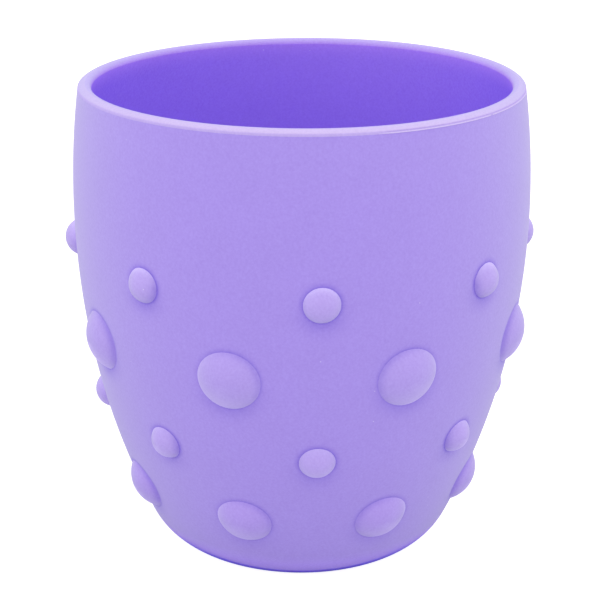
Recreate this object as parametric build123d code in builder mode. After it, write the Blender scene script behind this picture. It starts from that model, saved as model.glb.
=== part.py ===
from build123d import *
import os
from math import asin, atan2, cos, degrees, radians, sin, sqrt

# A toddler's training cup: one silicone moulding with an open mouth, a soft lip,
# a barrel-shaped wall and four staggered rows of domed grip bumps.
# All sizes are in millimetres. The origin is the centre of the foot, on the table;
# +Z is up, and the front is -Y, where one column of small bumps faces.

# Outer wall: one long arc from the lip down, then a tighter arc round to the foot.
cup_height = 80.0
widest_radius = 38.0
widest_height = 59.6
wall_arc_radius = 127.4
corner_arc_radius = 11.9
corner_arc_height = 11.0  # of the arc's centre, so the flat foot cuts the arc's bottom off

# Inside: an even wall, and a thick floor that keeps the cup upright.
wall_thickness = 2.2
floor_thickness = 4.0
inner_corner_radius = 10.0

# Foot: the cup rests on a flat ring round a shallow recess.
recess_radius = 15.0
recess_depth = 0.8
recess_edge_radius = 0.3

# Grip bumps: spherical domes in rows, the large ones half a step round from the small.
bumps_per_row = 8
front_angle = -90.0
half_step = 180.0 / bumps_per_row
small_dome = {"base_radius": 2.85, "rise": 1.75}
upper_large_dome = {"base_radius": 4.85, "rise": 2.1}
lower_large_dome = {"base_radius": 4.3, "rise": 1.85}
bump_rows = {
    "upper_small_bumps": (53.4, front_angle, small_dome),
    "upper_large_bumps": (40.0, front_angle + half_step, upper_large_dome),
    "lower_small_bumps": (25.8, front_angle, small_dome),
    "lower_large_bumps": (13.1, front_angle + half_step, lower_large_dome),
}

# The cup's section lies in the XZ plane, and its points are (radius, height).
wall_center = (widest_radius - wall_arc_radius, widest_height)


def wall_point(arc_radius, angle):
    """Section point at a distance and an angle in degrees from the wall arc's centre."""
    return (
        wall_center[0] + arc_radius * cos(radians(angle)),
        wall_center[1] + arc_radius * sin(radians(angle)),
    )


def wall_angle(arc_radius, height):
    """Angle at which an arc round the wall arc's centre reaches a height."""
    return degrees(asin((height - widest_height) / arc_radius))


def corner_arc(corner_radius, outside_radius, height):
    """Centre of a corner arc that runs smoothly into a wall arc, and the angle where it does."""
    angle = wall_angle(outside_radius - corner_radius, height)
    return wall_point(outside_radius - corner_radius, angle), angle


lip_radius = wall_thickness / 2
lip_arc_radius = wall_arc_radius - lip_radius
lip_angle = wall_angle(lip_arc_radius, cup_height - lip_radius)

# The mould's parting line runs round the outside where the lip begins to round over.
parting_height = wall_point(wall_arc_radius, lip_angle)[1]

corner_center, corner_angle = corner_arc(corner_arc_radius, wall_arc_radius, corner_arc_height)
foot_radius = corner_center[0] + sqrt(corner_arc_radius**2 - corner_arc_height**2)
foot_angle = degrees(atan2(-corner_arc_height, foot_radius - corner_center[0]))
base_height = wall_point(wall_arc_radius, corner_angle)[1]

inner_arc_radius = wall_arc_radius - wall_thickness
inner_corner_center, inner_corner_angle = corner_arc(
    inner_corner_radius, inner_arc_radius, floor_thickness + inner_corner_radius
)


def outer_side():
    """Draw the section's outside, from the axis at the foot up to where the lip rounds over."""
    Line((0, 0), (foot_radius, 0))
    CenterArc(corner_center, corner_arc_radius, foot_angle, corner_angle - foot_angle)
    CenterArc(wall_center, wall_arc_radius, corner_angle, lip_angle - corner_angle)


def inner_side():
    """Draw the section's inside, from the lip down to the axis at the floor."""
    CenterArc(wall_center, inner_arc_radius, lip_angle, inner_corner_angle - lip_angle)
    CenterArc(inner_corner_center, inner_corner_radius, inner_corner_angle, -90 - inner_corner_angle)
    Line((inner_corner_center[0], floor_thickness), (0, floor_thickness))


# The whole cup without its bumps, from which its lip, wall and base are cut.
with BuildPart() as cup_form:
    with BuildSketch(Plane.XZ):
        with BuildLine():
            outer_side()
            CenterArc(wall_point(lip_arc_radius, lip_angle), lip_radius, lip_angle, 180)
            inner_side()
            Line((0, floor_thickness), (0, 0))
        make_face()
    revolve(axis=Axis.Z)

# The same outside filled solid, which trims the bumps to the wall.
with BuildPart() as filled_form:
    with BuildSketch(Plane.XZ):
        with BuildLine():
            outer_side()
            Line(wall_point(wall_arc_radius, lip_angle), (0, cup_height))
            Line((0, cup_height), (0, 0))
        make_face()
    revolve(axis=Axis.Z)

os.makedirs("parts", exist_ok=True)

# Rounded drinking lip, above the parting line.
with BuildPart() as rim_lip:
    add(cup_form.part)
    split(bisect_by=Plane.XY.offset(parting_height), keep=Keep.TOP)
rim_lip.part.label = "rim_lip"
export_step(rim_lip.part, "parts/rim_lip.step")

# Wall, from the parting line down to where the bottom corner begins.
with BuildPart() as side_wall:
    add(cup_form.part)
    split(bisect_by=Plane.XY.offset(parting_height), keep=Keep.BOTTOM)
    split(bisect_by=Plane.XY.offset(base_height), keep=Keep.TOP)
side_wall.part.label = "side_wall"
export_step(side_wall.part, "parts/side_wall.step")

# Thick floor and bottom corner, standing on a ring round the shallow recess.
with BuildPart() as base:
    add(cup_form.part)
    split(bisect_by=Plane.XY.offset(base_height), keep=Keep.BOTTOM)
    with BuildSketch():
        Circle(recess_radius)
    extrude(amount=recess_depth, mode=Mode.SUBTRACT)
    recess_edges = base.edges(Select.LAST).filter_by(GeomType.CIRCLE)
    fillet(recess_edges, radius=recess_edge_radius)
base.part.label = "base"
export_step(base.part, "parts/base.step")

# Rows of grip bumps: each dome's sphere is sunk along the wall's normal, and the part
# of it inside the wall is trimmed away.
for row_name, (row_height, first_angle, dome) in bump_rows.items():
    sphere_radius = (dome["base_radius"] ** 2 + dome["rise"] ** 2) / (2 * dome["rise"])
    center_arc_radius = wall_arc_radius - sphere_radius + dome["rise"]
    center = wall_point(center_arc_radius, wall_angle(wall_arc_radius, row_height))
    with BuildPart() as row:
        with Locations((0, 0, center[1])):
            with PolarLocations(center[0], bumps_per_row, start_angle=first_angle):
                Sphere(sphere_radius)
        add(filled_form.part, mode=Mode.SUBTRACT)
    row.part.label = row_name
    export_step(row.part, f"parts/{row_name}.step")
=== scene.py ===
import math

import bpy
import numpy as np
from mathutils import Matrix, Vector


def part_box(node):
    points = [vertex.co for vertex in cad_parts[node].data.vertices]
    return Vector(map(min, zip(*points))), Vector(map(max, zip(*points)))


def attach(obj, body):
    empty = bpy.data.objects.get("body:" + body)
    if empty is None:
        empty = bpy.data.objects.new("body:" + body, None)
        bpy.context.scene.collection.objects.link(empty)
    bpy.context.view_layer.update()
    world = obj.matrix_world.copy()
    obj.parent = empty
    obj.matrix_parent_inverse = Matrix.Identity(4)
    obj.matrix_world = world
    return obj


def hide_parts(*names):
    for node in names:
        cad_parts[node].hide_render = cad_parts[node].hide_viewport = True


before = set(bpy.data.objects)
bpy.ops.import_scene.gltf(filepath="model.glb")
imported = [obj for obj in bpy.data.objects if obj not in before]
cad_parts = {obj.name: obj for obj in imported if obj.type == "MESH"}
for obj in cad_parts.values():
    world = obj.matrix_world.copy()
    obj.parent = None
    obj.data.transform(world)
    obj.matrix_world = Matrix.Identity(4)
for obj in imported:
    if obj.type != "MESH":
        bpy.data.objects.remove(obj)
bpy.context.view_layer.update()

# The looks of a moulded silicone training cup, in metres, in the CAD frame: the origin is the
# centre of the foot, +Z is up, and the front is -Y.
# The lip, wall and base are turned rings that meet edge to edge, and each row of grip bumps is
# its own piece, seated in the wall. A section's points are (radius, height), and angles round
# the cup run from the front towards the right (+X).

MM = 0.001

# ---------------------------------------------------------------- sizes
lip_low, lip_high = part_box("rim_lip")
wall_low, wall_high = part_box("side_wall")
cup_height = lip_high.z
parting_height = lip_low.z
base_height = wall_low.z
widest_radius = wall_high.x

# The arcs of the cup's section, as in the CAD.
widest_height = 59.6 * MM
wall_arc_radius = 127.4 * MM
wall_thickness = 2.2 * MM
corner_arc_radius = 11.9 * MM
corner_arc_height = 11.0 * MM
floor_thickness = 4.0 * MM
inner_corner_radius = 10.0 * MM
recess_radius = 15.0 * MM
recess_depth = 0.8 * MM
recess_edge_radius = 0.3 * MM

# Where the foot's flat has its last two rows of points, short of its edge, and the angle by
# which the corner arc starts past that edge, so that the edge is slightly broken.
foot_margins = (1.2 * MM, 0.2 * MM)
foot_edge_turn = 0.02

# The lip's own shape: a bevel up from the parting line, a crown that levels out towards the
# inside, and a round inner edge. The shares say how far along each the points lie.
bevel_height = 0.5 * MM
bevel_inset = 0.2 * MM
bevel_bulge = 0.05 * MM
bevel_shares = np.linspace(0.08, 1, 12)
crown_inset = 1.25 * MM
crown_shares = np.linspace(0.12, 1, 8)
lip_inner_round = 0.9 * MM
lip_inner_round_start = math.radians(88)

# A thin flash runs along part of the parting line, with a groove above it. Both fade in and
# out at their ends, and one nick cuts through them, as deep as nick_depth times their rise.
flash_start = math.radians(12.6)
flash_end = math.radians(79)
flash_fade = math.radians(4)
nick_angle = math.radians(48.75)
nick_width = math.radians(1.0)
nick_depth = 1.5
ridge = {"height": 0.06 * MM, "width": 0.07 * MM, "rise": 0.10 * MM}
groove = {"height": 0.27 * MM, "width": 0.07 * MM, "rise": -0.06 * MM}

# Grip bumps: for each row the angle of its first bump, and its dome. A dome runs on into the
# wall by dome_sunk.
bumps_per_row = 8
half_step = math.pi / bumps_per_row
small_dome = {"base_radius": 2.85 * MM, "rise": 1.75 * MM}
upper_large_dome = {"base_radius": 4.85 * MM, "rise": 2.1 * MM}
lower_large_dome = {"base_radius": 4.3 * MM, "rise": 1.85 * MM}
dome_sunk = 1.0 * MM
bump_rows = {
    "upper_small_bumps": (0.0, small_dome),
    "upper_large_bumps": (half_step, upper_large_dome),
    "lower_small_bumps": (0.0, small_dome),
    "lower_large_bumps": (half_step, lower_large_dome),
}

# The mouth of the soft cup is wider by mouth_spread of its radius and a little out of round,
# fading out down the wall. Each wave has this many crests round the mouth: its share of the
# radius, and where a crest is.
mouth_spread = 0.008
mouth_waves = {
    1: (0.005, math.radians(101)),
    2: (0.026, math.radians(-47)),
    3: (0.006, math.radians(26)),
}
mouth_fade_height = 45 * MM

# How finely the skins are meshed: segments round the cup or a dome, steps along arcs, and the
# shares of the way out from the axis where the recess and the floor have rows of points.
skin_segments = 288
outer_wall_steps = 56
inner_wall_steps = 40
wall_corner_steps = 12
floor_corner_steps = 6
foot_corner_steps = 18
recess_edge_steps = 4
lip_round_steps = 10
dome_segments = 48
dome_rings = 14
recess_rows = (0.3, 0.6, 0.9)
floor_rows = (0.75, 0.5, 0.25)
end_step_share = 0.002
sharp_turn = math.radians(30)

# The inside's material goes on faces inside the cup that look up by more than floor_upness,
# and on faces that look at the axis by more than rounding gives.
floor_upness = 0.5
least_inward = 1e-9

# ---------------------------------------------------------------- looks
# Colours, as linear shares of red, green and blue.
wall_tone = (0.41, 0.293, 0.812)
# Where the outside and the bumps are seen edge on they turn paler and less violet: a painted
# sheen.
wall_sheen_tone = (0.515, 0.46, 0.76)
# The inside is deeper and more violet than the outside: painted light that comes through the thin
# wall. Where it's seen edge on it turns darker: painted shade.
inside_tone = (0.418, 0.245, 0.925)
inside_edge_shade_tone = (0.28, 0.15, 0.86)
# The lip is paler than the wall, outside and in: painted light that comes through the thin lip.
# Seen edge on it turns darker than its outside, a painted shade, and less violet than its inside,
# a painted sheen.
lip_tone = (0.61, 0.49, 0.82)
lip_edge_sheen_shade_tone = (0.48, 0.43, 0.78)
lip_inner_tone = (0.50, 0.38, 0.84)
rim_glow_tone = (0.58, 0.32, 0.98)
# The bevel below the lip's crown is darker: painted shade.
bevel_shade_tone = (0.50, 0.385, 0.82)
# The bumps are paler than the wall, the large ones a little less: painted light that the thicker
# silicone of a bump lets through.
dome_glow_tones = {
    "upper_small_bumps": (0.49, 0.37, 0.83),
    "upper_large_bumps": (0.457, 0.34, 0.815),
    "lower_small_bumps": (0.49, 0.37, 0.83),
    "lower_large_bumps": (0.45, 0.325, 0.815),
}
# A painted highlight on a bump's rim where light falls on it.
dome_rim_highlight_tone = (0.66, 0.55, 0.97)
# Painted shade in the creases round the bumps and on their shaded rims.
crease_shade_tone = (0.22, 0.14, 0.68)
# Painted light from the table on the rounded bottom edge, and a painted deep violet shade line at
# its contour near the table.
table_light_tone = (0.495, 0.357, 0.935)
contact_shade_tone = (0.18, 0.12, 0.87)
# A painted highlight along the flash ridge, and painted shade in the groove above it.
flash_highlight_tone = (0.76, 0.66, 0.92)
groove_shade_tone = (0.46, 0.34, 0.76)
dust_tone = (0.85, 0.8, 0.95)

# How closely the painted sheen and shade of skin that is seen edge on keep to the outline.
edge_power = 1.8
inside_edge_power = 1.0

# The painted shade in the crease round a bump, deeper on the side towards the front or back of
# the cup, and the painted soft shade below it. The table's light fills both in under bumps lower
# than table_reach.
# The direction away from a bump's middle fades out nearer to the middle than least_distance.
crease_shade_reach = 1.2 * MM
crease_shade_depth = 0.85
crease_shade_lean = 0.35
shade_reach = 3.6 * MM
shade_depth = 0.55
table_reach = 48 * MM
table_fill = 0.7
least_distance = 0.1 * MM

# How much painted highlight a bump's rim has above and below (painted shade if it's less than 0),
# and on the side away from the front or back, which faces the side light. Below, the highlight
# shows only as far as the rim is seen edge on.
dome_edge_lights = {
    "upper_small_bumps": (1.0, 0.1),
    "upper_large_bumps": (-0.2, 1.1),
    "lower_small_bumps": (0.4, 1.3),
    "lower_large_bumps": (-0.2, 1.2),
}
dome_side_light = 0.5
dome_edge_width = 1.1 * MM

# How much painted shade the steep bevel has, and the painted glow of light that comes through the
# lip to the inside below it: depths below the crown where it starts, is full and ends.
bevel_shade_share = 0.7
bevel_fade = 0.15 * MM
rim_glow_start = 0.3 * MM
rim_glow_full = 0.9 * MM
rim_glow_reach = 4.2 * MM

# How steeply the skin looks down (0 to 1) where the painted light from the table begins and is
# full, and where the painted deep violet shade line begins, is full, and starts to fade towards
# the flat underside. The shade line also needs to be seen edge on (0 to 1): it begins at
# line_start and is full at line_full.
low_start = 0.42
low_full = 0.60
under_start = 0.55
under_full = 0.75
under_flat = 0.97
line_start = 0.72
line_full = 0.81

# The matte skin: large soft clouds, and a fine grain whose light spots are also less violet.
cloud_scale = 140
cloud_depth = 0.05
grain_scale = 2600
grain_depth = 0.13
grain_fade = 0.12
least_roughness = 0.55
cloud_roughness = 0.2
specular_level = 0.3
grain_bump_strength = 0.15
grain_bump_height = 0.05 * MM

# Dust: tiny specks about dust_spacing apart, on a few of the places where one could be.
dust_spacing = 2.2 * MM
dust_size = 0.09 * MM
dust_share = 0.2
dust_strength = 0.6

# Studio: how bright the white tent is in front, and how much more at the sides and overhead.
tent_front = 0.87
tent_side = 0.55
tent_top = 0.25
top_box_place = (0, 0.1, 1.2)
top_box_size = 1.0
top_box_power = 0.5

# The floor lies just below the foot. It has floor_light_tone for the cup that it lights, and
# floor_shown_tone with some glow for the camera, which sees plain white.
floor_half_width = 6.0
floor_drop = 0.02 * MM
floor_light_tone = (0.69, 0.69, 0.76)
floor_shown_tone = (0.4, 0.4, 0.4)
floor_glow = 0.9
floor_roughness = 0.9

# Camera: a long lens, a little above the rim, turned slightly off the front column of bumps.
# The lens and its sensor are in millimetres, and the shift is a share of the sensor.
camera_turn = math.radians(-4.81)
camera_distance = 302.2 * MM
camera_height = 143.5 * MM
camera_tilt_down = math.radians(18.64)
camera_roll = math.radians(0.593)
lens_length = 111.98
sensor_width = 36
lens_shift = -0.0018


# ---------------------------------------------------------------- the cup's section
wall_center = (widest_radius - wall_arc_radius, widest_height)
inner_arc_radius = wall_arc_radius - wall_thickness


def wall_angle(arc_radius, height):
    """Angle at which an arc round the wall arc's centre reaches a height."""
    return math.asin((height - widest_height) / arc_radius)


def wall_point(arc_radius, angle):
    """Section point at a distance and angle from the wall arc's centre."""
    return (
        wall_center[0] + arc_radius * math.cos(angle),
        wall_center[1] + arc_radius * math.sin(angle),
    )


def arc(center, radius, start, end, steps):
    """Section points along an arc, angles in radians, both ends included."""
    return [
        (center[0] + radius * math.cos(angle), center[1] + radius * math.sin(angle))
        for angle in np.linspace(start, end, steps + 1)
    ]


def wall_arc(arc_radius, start_height, end_height, steps):
    """Section points along the wall, with a short first and last step for true end normals."""
    start = wall_angle(arc_radius, start_height)
    end = wall_angle(arc_radius, end_height)
    middle_shares = np.linspace(0, 1, steps + 1)[1:-1]
    shares = [0, end_step_share, *middle_shares, 1 - end_step_share, 1]
    return [wall_point(arc_radius, start + (end - start) * share) for share in shares]


def corner_arc(corner_radius, outside_radius, height):
    """Centre of a corner arc that runs smoothly into a wall arc, and the angle where it does."""
    angle = wall_angle(outside_radius - corner_radius, height)
    return wall_point(outside_radius - corner_radius, angle), angle


corner_center, corner_angle = corner_arc(corner_arc_radius, wall_arc_radius, corner_arc_height)
foot_radius = corner_center[0] + math.sqrt(corner_arc_radius**2 - corner_arc_height**2)
foot_angle = math.atan2(-corner_arc_height, foot_radius - corner_center[0])
inner_corner_center, inner_corner_angle = corner_arc(
    inner_corner_radius, inner_arc_radius, floor_thickness + inner_corner_radius
)
inner_split_angle = math.asin((base_height - inner_corner_center[1]) / inner_corner_radius)


def lip_outline():
    """Closed section of the lip, from the parting line outside to the parting line inside."""
    outer = wall_point(wall_arc_radius, wall_angle(wall_arc_radius, parting_height))
    inner = wall_point(inner_arc_radius, wall_angle(inner_arc_radius, parting_height))
    crown_start = (outer[0] - bevel_inset, parting_height + bevel_height)
    crown_end = (outer[0] - crown_inset, cup_height)
    points = [outer]
    for share in bevel_shares:
        bulge = bevel_bulge * math.sin(math.pi * share)
        radius = outer[0] + (crown_start[0] - outer[0]) * share + bulge
        height = outer[1] + (crown_start[1] - outer[1]) * share + bulge
        points.append((radius, height))
    for share in crown_shares:
        levelling = 1 - (1 - share) ** 2
        radius = crown_start[0] + (crown_end[0] - crown_start[0]) * share
        height = crown_start[1] + (crown_end[1] - crown_start[1]) * levelling
        points.append((radius, height))
    round_center = (inner[0] + lip_inner_round, cup_height - lip_inner_round)
    points += arc(round_center, lip_inner_round, lip_inner_round_start, math.pi, lip_round_steps)
    points.append(inner)
    return points


def wall_outline():
    """Closed section of the wall, up the outside and down the inside into the inner corner."""
    points = wall_arc(wall_arc_radius, base_height, parting_height, outer_wall_steps)
    inner_low = wall_point(inner_arc_radius, inner_corner_angle)[1]
    points += wall_arc(inner_arc_radius, parting_height, inner_low, inner_wall_steps)
    inner_corner = arc(
        inner_corner_center,
        inner_corner_radius,
        inner_corner_angle,
        inner_split_angle,
        wall_corner_steps,
    )
    return points + inner_corner[1:]


def base_outline():
    """Section of the base, from the axis underneath, round the foot, to the axis on the floor."""
    edge = recess_edge_radius
    right_angle = math.pi / 2
    roof_center = (recess_radius - edge, recess_depth - edge)
    rim_center = (recess_radius + edge, edge)
    points = [(recess_radius * share, recess_depth) for share in recess_rows]
    points += arc(roof_center, edge, right_angle, 0, recess_edge_steps)
    points += arc(rim_center, edge, math.pi, math.pi + right_angle, recess_edge_steps)
    points += [(foot_radius - margin, 0) for margin in foot_margins]
    points += arc(
        corner_center,
        corner_arc_radius,
        foot_angle + foot_edge_turn,
        corner_angle,
        foot_corner_steps,
    )
    points += arc(
        inner_corner_center,
        inner_corner_radius,
        inner_split_angle,
        -right_angle,
        floor_corner_steps,
    )
    points += [(inner_corner_center[0] * share, floor_thickness) for share in floor_rows]
    return points


# ---------------------------------------------------------------- mesh building
def soft_shape(points):
    """Moves points to the soft cup's uneven mouth; the lower wall stays round."""
    x, y, z = np.array(points, float).T
    angle = np.arctan2(x, -y)
    share = np.clip((z - mouth_fade_height) / (cup_height - mouth_fade_height), 0, None) ** 2
    wave = sum(size * np.cos(crests * (angle - at)) for crests, (size, at) in mouth_waves.items())
    scale = 1 + share * (mouth_spread + wave)
    return np.stack([x * scale, y * scale, z], axis=1)


def new_piece(name, points, faces, node, sharp_edges=()):
    """A smooth-shaded mesh piece that rides on the root and stands for a CAD node."""
    mesh = bpy.data.meshes.new(name)
    mesh.from_pydata([tuple(point) for point in points], [], faces)
    mesh.polygons.foreach_set("use_smooth", [True] * len(mesh.polygons))
    if sharp_edges:
        is_sharp = [tuple(sorted(edge.vertices)) in sharp_edges for edge in mesh.edges]
        mesh.edges.foreach_set("use_edge_sharp", is_sharp)
    mesh.update()
    piece = bpy.data.objects.new(name, mesh)
    bpy.context.collection.objects.link(piece)
    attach(piece, "root")
    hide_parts(node)
    return piece


def steps_round(segments):
    """The steps round a ring of points, each as the numbers of its two ends."""
    return [(here, (here + 1) % segments) for here in range(segments)]


def sharp_rows(outline, closed):
    """Rows of an outline where it turns a corner of more than sharp_turn."""
    count = len(outline)
    rows = range(count) if closed else range(1, count - 1)
    sharp = []
    for row in rows:
        before = Vector(outline[row - 1])
        here = Vector(outline[row])
        after = Vector(outline[(row + 1) % count])
        if (here - before).angle(after - here) > sharp_turn:
            sharp.append(row)
    return sharp


def build_turned(name, outline, node, closed):
    """An outline turned round +Z: a ring if it is closed, else capped where it meets the axis."""
    points = [
        (radius * math.sin(angle), -radius * math.cos(angle), height)
        for radius, height in outline
        for angle in np.linspace(0, 2 * math.pi, skin_segments, endpoint=False)
    ]
    rows = len(outline)
    steps = steps_round(skin_segments)
    faces = []
    for row in range(rows if closed else rows - 1):
        low = row * skin_segments
        high = (row + 1) % rows * skin_segments
        faces += [(low + here, low + ahead, high + ahead, high + here) for here, ahead in steps]
    if not closed:
        last = (rows - 1) * skin_segments
        first_center = len(points)
        last_center = first_center + 1
        points += [(0, 0, outline[0][1]), (0, 0, outline[-1][1])]
        for here, ahead in steps:
            faces.append((first_center, ahead, here))
            faces.append((last_center, last + here, last + ahead))
    sharp_edges = {
        tuple(sorted((row * skin_segments + here, row * skin_segments + ahead)))
        for row in sharp_rows(outline, closed)
        for here, ahead in steps
    }
    return new_piece(name, soft_shape(points), faces, node, sharp_edges)


def paint_inside(piece):
    """Gives the faces that look at the cup's axis, or up from its floor, the second material."""
    for face in piece.data.polygons:
        outward = face.normal.x * face.center.x + face.normal.y * face.center.y
        looks_up = face.normal.z > floor_upness
        on_floor = looks_up and recess_depth < face.center.z < parting_height
        if outward < -least_inward or on_floor:
            face.material_index = 1


def flash_share(angle):
    """How much of the flash there is at an angle round the cup; less than 0 in the nick."""
    fade_in = min(max((angle - flash_start) / flash_fade, 0), 1)
    fade_out = min(max((flash_end - angle) / flash_fade, 0), 1)
    nick = max(1 - abs(angle - nick_angle) / nick_width, 0)
    return fade_in * fade_out * (1 - nick_depth * nick)


def raise_flash(lip):
    """Moves the lip's outer side out and in along the flash, its groove and its nick."""
    outer_side_start = widest_radius - 2 * crown_inset
    for vertex in lip.data.vertices:
        x, y, z = vertex.co
        above = z - parting_height
        radius = math.hypot(x, y)
        if above > bevel_height or radius < outer_side_start:
            continue
        rise = sum(
            form["rise"] * math.exp(-(((above - form["height"]) / form["width"]) ** 2))
            for form in (ridge, groove)
        )
        scale = 1 + flash_share(math.atan2(x, -y)) * rise / radius
        vertex.co.x *= scale
        vertex.co.y *= scale
    lip.data.update()


def dome_mesh(center, axis, radius, cap_angle):
    """A sphere cap about an axis, run on below the wall and closed flat."""
    side = axis.orthogonal().normalized()
    across = axis.cross(side)
    points = [center + radius * axis]
    for ring in range(1, dome_rings + 1):
        off_axis = cap_angle * ring / dome_rings
        for segment in range(dome_segments):
            turn = 2 * math.pi * segment / dome_segments
            outward = math.cos(turn) * side + math.sin(turn) * across
            direction = math.cos(off_axis) * axis + math.sin(off_axis) * outward
            points.append(center + radius * direction)
    steps = steps_round(dome_segments)
    faces = [(0, 1 + here, 1 + ahead) for here, ahead in steps]
    for ring in range(dome_rings - 1):
        upper = 1 + ring * dome_segments
        lower = upper + dome_segments
        for here, ahead in steps:
            faces.append((upper + here, lower + here, lower + ahead, upper + ahead))
    last = 1 + (dome_rings - 1) * dome_segments
    flat_center = len(points)
    points.append(center + radius * math.cos(cap_angle) * axis)
    faces += [(flat_center, last + ahead, last + here) for here, ahead in steps]
    return points, faces


def row_place(node):
    """Height of a row of bumps, the middle of its CAD box, and the wall's angle there."""
    low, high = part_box(node)
    height = (low.z + high.z) / 2
    return height, wall_angle(wall_arc_radius, height)


def build_bump_row(node, first_angle, dome):
    """The domes of one row, at the height that the CAD row has."""
    slope = row_place(node)[1]
    radius = (dome["base_radius"] ** 2 + dome["rise"] ** 2) / (2 * dome["rise"])
    center = wall_point(wall_arc_radius + dome["rise"] - radius, slope)
    cap_angle = math.acos((radius - dome["rise"] - dome_sunk) / radius)
    points, faces = [], []
    for number in range(bumps_per_row):
        turn = Matrix.Rotation(first_angle + 2 * math.pi * number / bumps_per_row, 3, "Z")
        dome_points, dome_faces = dome_mesh(
            center=turn @ Vector((0, -center[0], center[1])),
            axis=turn @ Vector((0, -math.cos(slope), math.sin(slope))),
            radius=radius,
            cap_angle=cap_angle,
        )
        start = len(points)
        points += dome_points
        faces += [tuple(start + corner for corner in face) for face in dome_faces]
    return new_piece(f"{node}_skin", soft_shape(points), faces, node)


# ---------------------------------------------------------------- materials
class Graph:
    """The node tree of a material or a world, with one short call for each node."""

    def __init__(self, owner):
        owner.use_nodes = True
        self.nodes = owner.node_tree.nodes
        self.links = owner.node_tree.links

    def put(self, socket, value):
        """Link a node's output to an input socket, or set the socket to a number or colour."""
        if isinstance(value, bpy.types.NodeSocket):
            self.links.new(value, socket)
        elif isinstance(value, tuple):
            socket.default_value = (*value, 1)
        else:
            socket.default_value = value

    def add(self, kind, output, **inputs):
        """A new node; returns its output. Input names are written with _ for spaces."""
        node = self.nodes.new(kind)
        for key, value in inputs.items():
            self.put(node.inputs[key.replace("_", " ")], value)
        return node.outputs[output]

    def calc(self, operation, *values, clamp=False):
        """One step of arithmetic, kept between 0 and 1 if clamp is set."""
        node = self.nodes.new("ShaderNodeMath")
        node.operation = operation
        node.use_clamp = clamp
        for socket, value in zip(node.inputs, values):
            self.put(socket, value)
        return node.outputs["Value"]

    def times(self, first, *others):
        """The product of all the values."""
        for other in others:
            first = self.calc("MULTIPLY", first, other)
        return first

    def minus(self, first, second):
        """The first value less the second."""
        return self.calc("SUBTRACT", first, second)

    def mix(self, factor, first, second):
        """The first colour at factor 0, the second at factor 1."""
        node = self.nodes.new("ShaderNodeMix")
        node.data_type = "RGBA"
        for name, value in (("Factor", factor), ("A", first), ("B", second)):
            self.put(node.inputs[name], value)
        return node.outputs["Result"]

    def split(self, vector):
        """The x, y and z of a vector."""
        node = self.nodes.new("ShaderNodeSeparateXYZ")
        self.put(node.inputs["Vector"], vector)
        return node.outputs

    def angle_round(self, x, y):
        """Angle round the cup's axis, from the front towards the right."""
        return self.calc("ARCTAN2", x, self.times(y, -1))

    def edge_on(self):
        """0 where the skin faces the eye, rising to 1 where it's seen edge on."""
        return self.add("ShaderNodeLayerWeight", "Facing")


def falling(graph, distance, reach):
    """1 at no distance, falling smoothly to 0 at the reach."""
    share = graph.calc("DIVIDE", distance, reach)
    return graph.calc("POWER", graph.calc("SUBTRACT", 1, share, clamp=True), 2)


def rising(graph, value, start, full):
    """0 at the start, rising evenly to 1 at the full value, which may be the lower of the two."""
    return graph.calc("DIVIDE", graph.minus(value, start), full - start, clamp=True)


def bump_surround(graph, place, node):
    """Distance beyond the base edge of a row's nearest bump, and the way there from its middle.

    The way is two shares from -1 to 1: up, and in towards the front or back of the cup.
    """
    first_angle, dome = bump_rows[node]
    height, slope = row_place(node)
    row_radius = wall_point(wall_arc_radius, slope)[0]
    x, y, z = graph.split(place)
    angle = graph.angle_round(x, y)
    off_angle = graph.calc("WRAP", graph.minus(angle, first_angle), half_step, -half_step)
    across = graph.times(off_angle, row_radius)
    up = graph.calc("DIVIDE", graph.minus(z, height), math.cos(slope))
    square = graph.calc("ADD", graph.calc("POWER", across, 2), graph.calc("POWER", up, 2))
    distance = graph.calc("SQRT", square)
    divisor = graph.calc("MAXIMUM", distance, least_distance)
    upness = graph.calc("DIVIDE", up, divisor)
    turned = graph.calc("SINE", graph.times(angle, -2))
    inness = graph.times(graph.calc("DIVIDE", across, divisor), turned)
    return graph.minus(distance, dome["base_radius"]), upness, inness


def crease_shade_mask(graph, place):
    """Mask of the painted shade in the thin crease round every bump, and of the painted shade
    below it.
    """
    mask = 0.0
    for node in bump_rows:
        gap, upness, inness = bump_surround(graph, place, node)
        fill = table_fill * max(1 - row_place(node)[0] / table_reach, 0)
        depth = graph.calc("MULTIPLY_ADD", inness, crease_shade_depth * crease_shade_lean, crease_shade_depth)
        downness = graph.calc("MINIMUM", upness, 0)
        depth = graph.calc("MULTIPLY_ADD", downness, crease_shade_depth * fill, depth)
        crease = graph.times(falling(graph, gap, crease_shade_reach), depth)
        below = graph.calc("MULTIPLY", upness, -shade_depth * (1 - fill), clamp=True)
        shade = graph.times(falling(graph, gap, shade_reach), below)
        mask = graph.calc("MAXIMUM", mask, graph.calc("MAXIMUM", crease, shade))
    return mask


def low_edges(graph, tone):
    """Painted light from the table on the rounded bottom edge, and a painted deep violet shade
    line seen edge on.
    """
    normal = graph.split(graph.add("ShaderNodeNewGeometry", "Normal"))
    down = graph.times(normal["Z"], -1)
    tone = graph.mix(rising(graph, down, low_start, low_full), tone, table_light_tone)
    line = graph.times(
        rising(graph, down, under_start, under_full),
        rising(graph, down, 1, under_flat),
        rising(graph, graph.edge_on(), line_start, line_full),
    )
    return graph.mix(line, tone, contact_shade_tone)


def wall_painted_light(graph, place, tone):
    """Adds the painted shade round and below the bumps, and the painted light and shade of the
    bottom edge.
    """
    tone = graph.mix(crease_shade_mask(graph, place), tone, crease_shade_tone)
    return low_edges(graph, tone)


def inner_painted_glow(graph, place, tone):
    """Adds the glow of light that comes through the lip to the inside just below it."""
    depth = graph.minus(cup_height, graph.split(place)["Z"])
    glow = graph.times(
        falling(graph, depth, rim_glow_reach),
        rising(graph, depth, rim_glow_start, rim_glow_full),
    )
    return graph.mix(glow, tone, rim_glow_tone)


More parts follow.
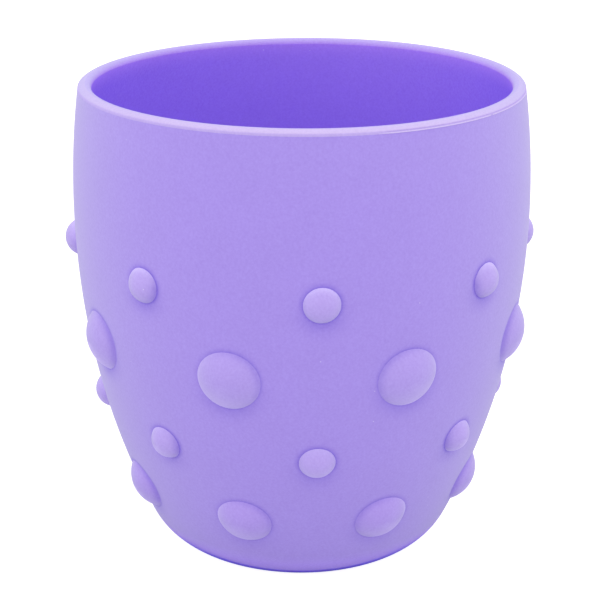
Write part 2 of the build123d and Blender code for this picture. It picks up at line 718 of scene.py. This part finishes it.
def lip_painted_light(graph, place, tone):
    """Paints shade on the bevel, a highlight along the flash line and shade in the groove above
    it.
    """
    x, y, z = graph.split(place)
    angle = graph.angle_round(x, y)
    above = graph.minus(z, parting_height)
    bevel = rising(graph, above, bevel_height, bevel_height - bevel_fade)
    tone = graph.mix(graph.times(bevel, bevel_shade_share), tone, bevel_shade_tone)
    window = graph.times(
        rising(graph, angle, flash_start, flash_start + flash_fade),
        rising(graph, angle, flash_end, flash_end - flash_fade),
    )
    off_nick = graph.calc("ABSOLUTE", graph.minus(angle, nick_angle))
    unbroken = graph.calc("GREATER_THAN", off_nick, nick_width / 2)
    ridge_window = graph.times(window, unbroken)
    forms = ((ridge, ridge_window, flash_highlight_tone), (groove, window, groove_shade_tone))
    for form, form_window, form_tone in forms:
        off_form = graph.calc("ABSOLUTE", graph.minus(above, form["height"]))
        line = graph.times(falling(graph, off_form, 2 * form["width"]), form_window)
        tone = graph.mix(line, tone, form_tone)
    return tone


def mottled(graph, clouds, grain, tone):
    """Adds the clouds' and the grain's light and dark to a tone."""
    value = graph.calc("MULTIPLY_ADD", clouds, cloud_depth, 1 - (cloud_depth + grain_depth) / 2)
    value = graph.calc("MULTIPLY_ADD", grain, grain_depth, value)
    saturation = graph.calc("MULTIPLY_ADD", grain, -grain_fade, 1 + grain_fade / 2)
    return graph.add(
        "ShaderNodeHueSaturation", "Color", Saturation=saturation, Value=value, Color=tone
    )


def dusted(graph, place, tone):
    """Adds sparse dust specks to a tone: a dot in the middle of a few cells."""
    cells = graph.nodes.new("ShaderNodeTexVoronoi")
    cells.inputs["Scale"].default_value = 1 / dust_spacing
    graph.put(cells.inputs["Vector"], place)
    chance = graph.add("ShaderNodeSeparateColor", "Red", Color=cells.outputs["Color"])
    picked = graph.calc("GREATER_THAN", chance, 1 - dust_share)
    dot = graph.calc("LESS_THAN", cells.outputs["Distance"], dust_size / dust_spacing)
    return graph.mix(graph.times(dot, picked, dust_strength), tone, dust_tone)


def silicone(name, color, edge_color, marks, power=edge_power):
    """Matte moulded silicone, with painted sheen and shade where it's seen edge on. marks paints
    more light and shade.
    """
    material = bpy.data.materials.new(name)
    graph = Graph(material)
    place = graph.add("ShaderNodeTexCoord", "Object")
    clouds = graph.add("ShaderNodeTexNoise", "Fac", Vector=place, Scale=cloud_scale, Detail=3)
    grain = graph.add("ShaderNodeTexNoise", "Fac", Vector=place, Scale=grain_scale, Detail=2)

    tone = graph.mix(graph.calc("POWER", graph.edge_on(), power), color, edge_color)
    tone = marks(graph, place, tone)
    tone = mottled(graph, clouds, grain, tone)
    tone = dusted(graph, place, tone)
    roughness = graph.calc("MULTIPLY_ADD", clouds, cloud_roughness, least_roughness)
    matte = graph.add(
        "ShaderNodeBump",
        "Normal",
        Height=grain,
        Strength=grain_bump_strength,
        Distance=grain_bump_height,
    )

    shader = graph.nodes["Principled BSDF"]
    graph.put(shader.inputs["Base Color"], tone)
    graph.put(shader.inputs["Roughness"], roughness)
    graph.put(shader.inputs["Specular IOR Level"], specular_level)
    graph.put(shader.inputs["Normal"], matte)
    return material


def dome_material(node):
    """Silicone for one row of bumps, with a painted highlight on its rim's lit sides and painted
    shade on the others.
    """
    light_above, light_below = dome_edge_lights[node]

    def rim_painted_light(graph, place, tone):
        gap, upness, inness = bump_surround(graph, place, node)
        inward = graph.calc("MAXIMUM", graph.times(gap, -1), 0)
        above = graph.times(graph.calc("MAXIMUM", upness, 0), light_above)
        above = graph.calc("MULTIPLY_ADD", inness, -dome_side_light, above)
        above = graph.times(above, falling(graph, inward, dome_edge_width))
        grazing = graph.calc("POWER", graph.edge_on(), 2)
        below = graph.times(graph.calc("MINIMUM", upness, 0), grazing)
        light = graph.calc("MULTIPLY_ADD", below, -light_below, above)
        dark = graph.calc("MULTIPLY", light, -1, clamp=True)
        pale = graph.calc("MULTIPLY", light, 1, clamp=True)
        tone = graph.mix(dark, tone, crease_shade_tone)
        return graph.mix(pale, tone, dome_rim_highlight_tone)

    return silicone(f"silicone_{node}", dome_glow_tones[node], wall_sheen_tone, rim_painted_light)


# ---------------------------------------------------------------- stage
def build_floor():
    """A pale floor that looks plain white and sends a moderate light back up at the cup."""
    mesh = bpy.data.meshes.new("floor")
    reach = floor_half_width
    corners = ((-reach, -reach), (reach, -reach), (reach, reach), (-reach, reach))
    mesh.from_pydata([(x, y, -floor_drop) for x, y in corners], [], [(0, 1, 2, 3)])
    floor = bpy.data.objects.new("floor", mesh)
    bpy.context.collection.objects.link(floor)

    material = bpy.data.materials.new("floor_white")
    graph = Graph(material)
    seen = graph.add("ShaderNodeLightPath", "Is Camera Ray")
    shader = graph.nodes["Principled BSDF"]
    graph.put(shader.inputs["Base Color"], graph.mix(seen, floor_light_tone, floor_shown_tone))
    graph.put(shader.inputs["Roughness"], floor_roughness)
    graph.put(shader.inputs["Specular IOR Level"], 0)
    graph.put(shader.inputs["Emission Color"], (1, 1, 1))
    graph.put(shader.inputs["Emission Strength"], graph.times(seen, floor_glow))
    mesh.materials.append(material)


def area_light(name, place, size, power):
    """A square soft box that faces the middle of the cup."""
    light = bpy.data.lights.new(name, "AREA")
    light.size = size
    light.energy = power
    lamp = bpy.data.objects.new(name, light)
    bpy.context.collection.objects.link(lamp)
    lamp.location = place
    aim = Vector((0, 0, cup_height / 2)) - lamp.location
    lamp.rotation_euler = aim.to_track_quat("-Z", "Y").to_euler()


def build_lights():
    """A white tent, brighter overhead and at the sides than in front, and a soft box above."""
    world = bpy.data.worlds.new("studio")
    bpy.context.scene.world = world
    graph = Graph(world)
    sky = graph.split(graph.add("ShaderNodeTexCoord", "Generated"))
    overhead = graph.times(graph.calc("MAXIMUM", sky["Z"], 0), tent_top)
    sideways = graph.times(graph.calc("POWER", graph.calc("ABSOLUTE", sky["X"]), 2), tent_side)
    brightness = graph.calc("ADD", graph.calc("ADD", overhead, sideways), tent_front)
    background = graph.nodes["Background"]
    graph.put(background.inputs["Color"], (1, 1, 1))
    graph.put(background.inputs["Strength"], brightness)
    area_light("top_box", top_box_place, top_box_size, top_box_power)


def build_camera():
    """The camera, aimed down at the cup from in front of it."""
    data = bpy.data.cameras.new("camera")
    data.sensor_width = sensor_width
    data.lens = lens_length
    data.shift_x = lens_shift
    camera = bpy.data.objects.new("camera", data)
    bpy.context.collection.objects.link(camera)
    camera.matrix_world = (
        Matrix.Rotation(camera_turn, 4, "Z")
        @ Matrix.Translation((0, -camera_distance, camera_height))
        @ Matrix.Rotation(math.pi / 2 - camera_tilt_down, 4, "X")
        @ Matrix.Rotation(camera_roll, 4, "Z")
    )
    bpy.context.scene.camera = camera


# ---------------------------------------------------------------- the cup in its studio
outside = silicone("silicone_outside", wall_tone, wall_sheen_tone, wall_painted_light)
inside = silicone(
    "silicone_inside", inside_tone, inside_edge_shade_tone, inner_painted_glow, power=inside_edge_power
)
lip_outside = silicone("silicone_lip", lip_tone, lip_edge_sheen_shade_tone, lip_painted_light)
lip_inside = silicone("silicone_lip_inside", lip_inner_tone, lip_edge_sheen_shade_tone, inner_painted_glow)

rim_lip = build_turned("rim_lip_skin", lip_outline(), "rim_lip", closed=True)
raise_flash(rim_lip)
side_wall = build_turned("side_wall_skin", wall_outline(), "side_wall", closed=True)
base = build_turned("base_skin", base_outline(), "base", closed=False)
for piece, materials in (
    (rim_lip, (lip_outside, lip_inside)),
    (side_wall, (outside, inside)),
    (base, (outside, inside)),
):
    for material in materials:
        piece.data.materials.append(material)
    paint_inside(piece)
for node, (first_angle, dome) in bump_rows.items():
    bumps = build_bump_row(node, first_angle, dome)
    bumps.data.materials.append(dome_material(node))

build_floor()
build_lights()
build_camera()
bpy.context.scene.view_settings.view_transform = "Standard"
